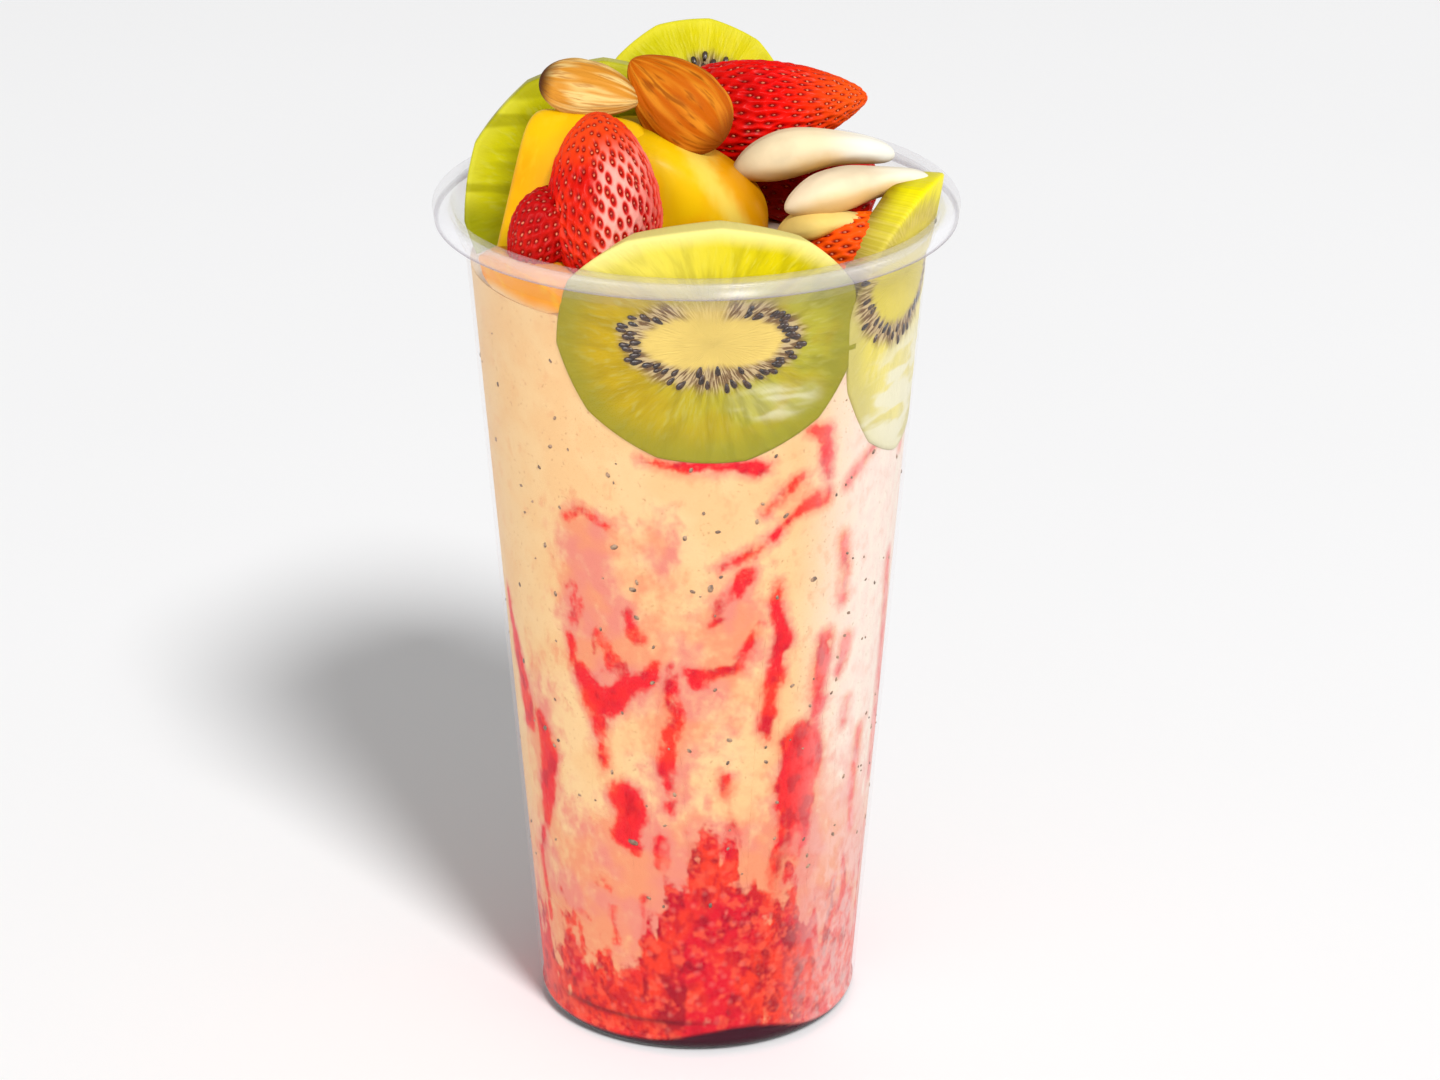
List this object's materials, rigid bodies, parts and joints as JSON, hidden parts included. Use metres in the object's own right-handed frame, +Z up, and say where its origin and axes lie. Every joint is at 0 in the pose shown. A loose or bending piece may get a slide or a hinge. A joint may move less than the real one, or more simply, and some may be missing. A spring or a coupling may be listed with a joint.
{
  "type": "fruit cocktail",
  "caption": "Fruit cocktail in a tall clear plastic cup: peach smoothie over strawberry puree, topped with kiwi, mango, strawberries, almonds and cashews.",
  "frame": {"origin": "centre of the cup's foot, on the surface that it stands on", "axes": "+Z up along the cup's axis, -Y towards the side with the large kiwi slice against the wall"},
  "size_m": [0.095, 0.095, 0.1869],
  "materials": {
    "clear_plastic": "clear, glossy",
    "puree": "wet strawberry puree",
    "smoothie": "thick peach-coloured smoothie",
    "kiwi": "moist cut kiwi flesh with dark seeds",
    "strawberry": "moist strawberry skin with seeds",
    "almond": "ridged brown almond skin",
    "cashew": "smooth pale cashew",
    "mango": "moist ripe mango flesh"
  },
  "bodies": {
    "root": {"cup": "clear_plastic", "strawberry_puree": "puree", "smoothie": "smoothie", "kiwi_front": "kiwi", "kiwi_right": "kiwi", "kiwi_rear": "kiwi", "kiwi_left": "kiwi", "kiwi_back": "kiwi", "strawberry_front": "strawberry", "strawberry_side": "strawberry", "strawberry_back": "strawberry", "strawberry_right": "strawberry", "strawberry_low": "strawberry", "strawberry_rear": "strawberry", "almond_middle": "almond", "almond_left": "almond", "cashew_upper": "cashew", "cashew_lower": "cashew", "cashew_half": "cashew", "mango_left": "mango", "mango_middle": "mango", "mango_back": "mango", "mango_low": "mango"}
  },
  "joints": []
}
